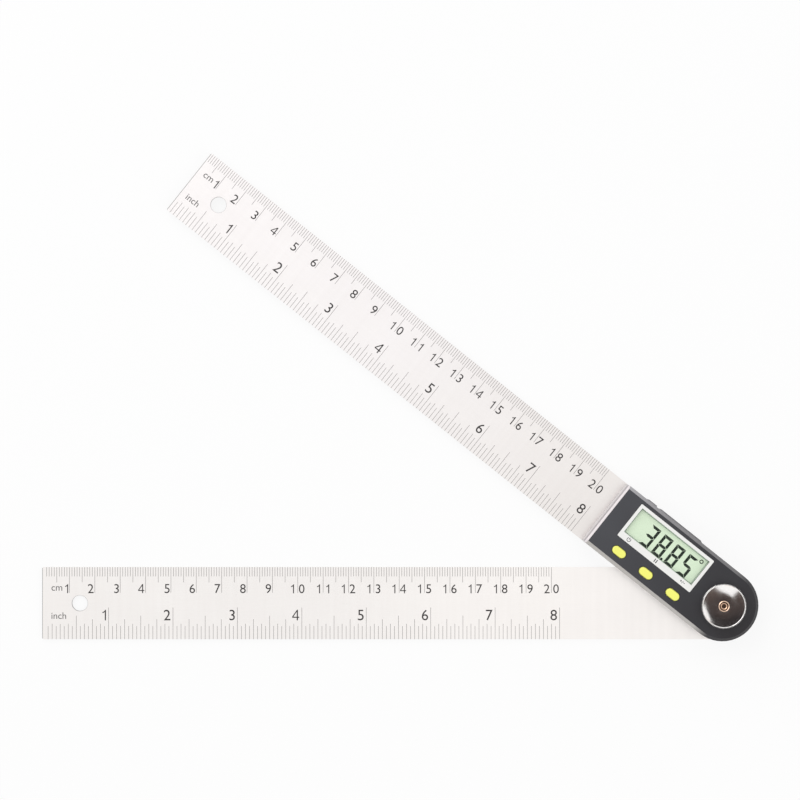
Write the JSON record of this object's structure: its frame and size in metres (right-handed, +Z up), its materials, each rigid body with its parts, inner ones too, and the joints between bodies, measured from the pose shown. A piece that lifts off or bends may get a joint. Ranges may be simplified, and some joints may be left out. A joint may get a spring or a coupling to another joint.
{
  "type": "digital angle finder",
  "caption": "Digital angle finder: flat steel rulers joined by one pivot with a lock knob, and a housing with display, buttons and a coin cell drawer.",
  "frame": {"origin": "on the pivot axis, at the underside of the base blade, where the flush head of the pivot stud shows", "axes": "+Z up out of the face, along the pivot axis; the base arm lies along -X from the pivot, so +X runs from its tip towards the knob; +Y is the side of its centimetre scale, towards the display arm"},
  "size_m": [0.281, 0.1912, 0.014],
  "materials": {
    "blade_steel": "fine brushed stainless steel, grain along the ruler",
    "bright_steel": "turned bright steel",
    "knob_chrome": "polished chrome plate with a spun top",
    "bush_brass": "turned brass",
    "washer_plastic": "slippery white plastic film",
    "circuit_board": "green solder mask on glass-fibre laminate",
    "housing_plastic": "finely textured charcoal moulding",
    "bay_plastic": "plain black moulding",
    "epoxy": "cured black epoxy drop",
    "contact_rubber": "layered conducting rubber",
    "display_glass": "liquid-crystal glass with a pale green reflector",
    "clear_window": "clear moulded window",
    "bezel_plastic": "smooth off-white plate",
    "button_plastic": "satin yellow key",
    "contact_metal": "plated spring bronze",
    "switch_metal": "tinned steel switch cover",
    "cell_steel": "nickel-plated can"
  },
  "bodies": {
    "base_arm": {"base_blade": "blade_steel", "pivot_stud": "bright_steel", "friction_washer": "washer_plastic", "rotor_disc": "circuit_board", "retaining_ring": "bright_steel"},
    "display_arm": {"display_blade": "blade_steel", "pivot_bushing": "bush_brass", "housing_cover": "housing_plastic", "battery_bay": "bay_plastic", "main_board": "circuit_board", "chip_cap": "epoxy", "zebra_strip": "contact_rubber", "lcd_panel": "display_glass", "display_window": "clear_window", "display_bezel": "bezel_plastic", "contact_positive": "contact_metal", "contact_negative": "contact_metal", "switch_power": "switch_metal", "switch_hold": "switch_metal", "switch_sign": "switch_metal", "housing_screw_1": "bright_steel", "housing_screw_2": "bright_steel", "housing_screw_3": "bright_steel", "housing_screw_4": "bright_steel", "board_screw_1": "bright_steel", "board_screw_2": "bright_steel"},
    "clamp_washer": {"clamp_washer": "bright_steel"},
    "lock_knob": {"lock_knob": "knob_chrome"},
    "button_power": {"button_power": "button_plastic"},
    "button_hold": {"button_hold": "button_plastic"},
    "button_sign": {"button_sign": "button_plastic"},
    "battery_drawer": {"battery_tray": "housing_plastic", "coin_cell": "cell_steel"}
  },
  "joints": [
    {"name": "arm_angle", "type": "hinge", "parent": "base_arm", "child": "display_arm", "pos_m": [0, 0, 0.0021], "axis": [0, 0, 1], "continuous": true},
    {"name": "knob_rise", "type": "slide", "parent": "base_arm", "child": "clamp_washer", "axis": [0, 0, 1], "range_m": [0, 0.0004]},
    {"name": "knob_turn", "type": "hinge", "parent": "clamp_washer", "child": "lock_knob", "pos_m": [0, 0, 0.0127], "axis": [0, 0, 1], "range_deg": [0, 180]},
    {"name": "power_press", "type": "slide", "parent": "display_arm", "child": "button_power", "axis": [0, 0, -1], "range_m": [0, 0.0003], "stiffness_N_per_m": 4000},
    {"name": "hold_press", "type": "slide", "parent": "display_arm", "child": "button_hold", "axis": [0, 0, -1], "range_m": [0, 0.0003], "stiffness_N_per_m": 4000},
    {"name": "sign_press", "type": "slide", "parent": "display_arm", "child": "button_sign", "axis": [0, 0, -1], "range_m": [0, 0.0003], "stiffness_N_per_m": 4000},
    {"name": "drawer_slide", "type": "slide", "parent": "display_arm", "child": "battery_drawer", "axis": [0.6225, 0.7826, 0], "range_m": [0, 0.0212]}
  ],
  "couplings": [
    {"joint": "knob_turn", "follows": "knob_rise", "rad_per_m": 7850}
  ]
}
